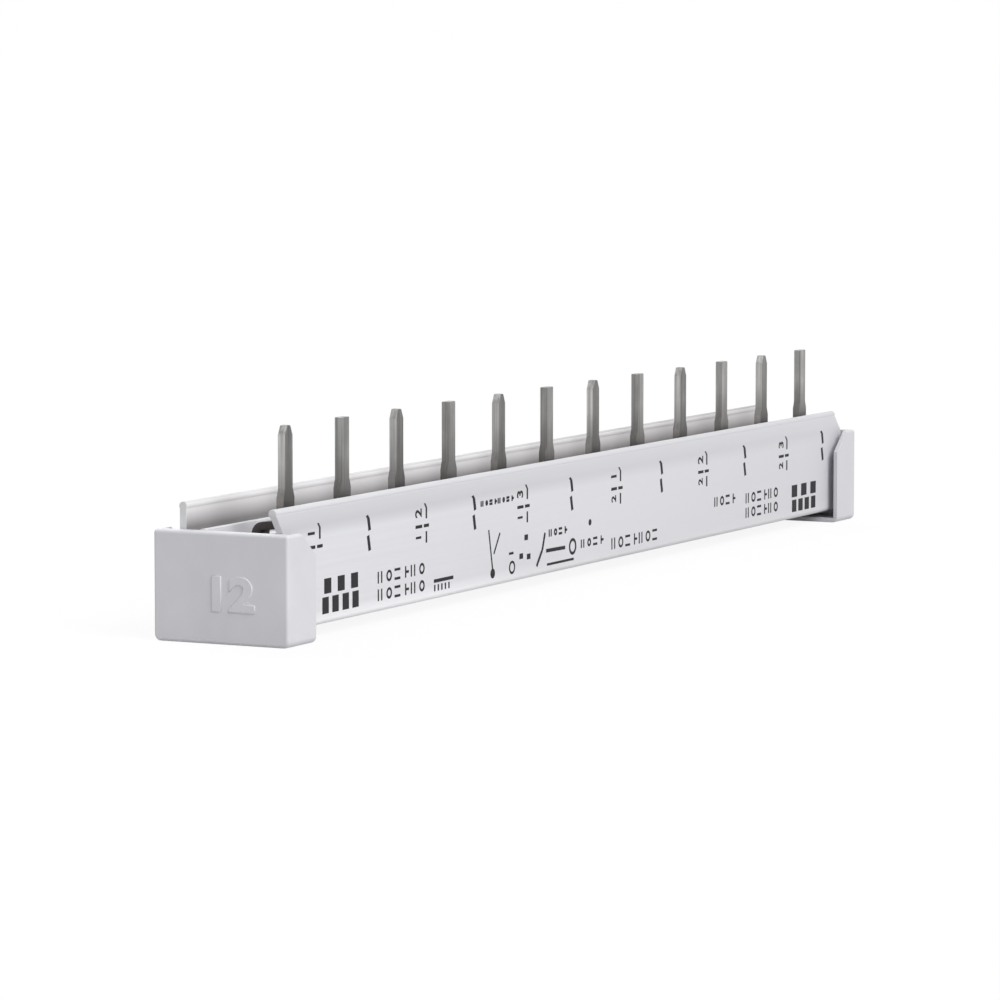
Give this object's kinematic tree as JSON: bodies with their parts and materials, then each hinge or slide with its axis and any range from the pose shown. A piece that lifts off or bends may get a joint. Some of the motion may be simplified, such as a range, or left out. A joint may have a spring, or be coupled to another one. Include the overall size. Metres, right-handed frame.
{
  "type": "comb busbar",
  "caption": "Straight comb busbar: cranked copper teeth in a row above an open extruded plastic channel, closed by moulded end caps",
  "frame": {"origin": "centre of the base, on the surface under the end caps", "axes": "+X along the row of teeth, from the first pole to the last; +Z the way the teeth point; -Y faces the printed wall, on whose side the teeth stand"},
  "size_m": [0.216, 0.023, 0.032],
  "materials": {
    "profile_plastic": "light grey extruded rigid plastic, fine lines along its length",
    "cap_plastic": "light grey moulded plastic, satin",
    "tinned_copper": "dull tinned copper, stamped and bent"
  },
  "bodies": {
    "root": {"insulating_profile": "profile_plastic", "near_end_cap": "cap_plastic", "far_end_cap": "cap_plastic", "phase_bar_1": "tinned_copper", "phase_bar_2": "tinned_copper", "phase_bar_3": "tinned_copper", "neutral_bar": "tinned_copper"}
  },
  "joints": []
}
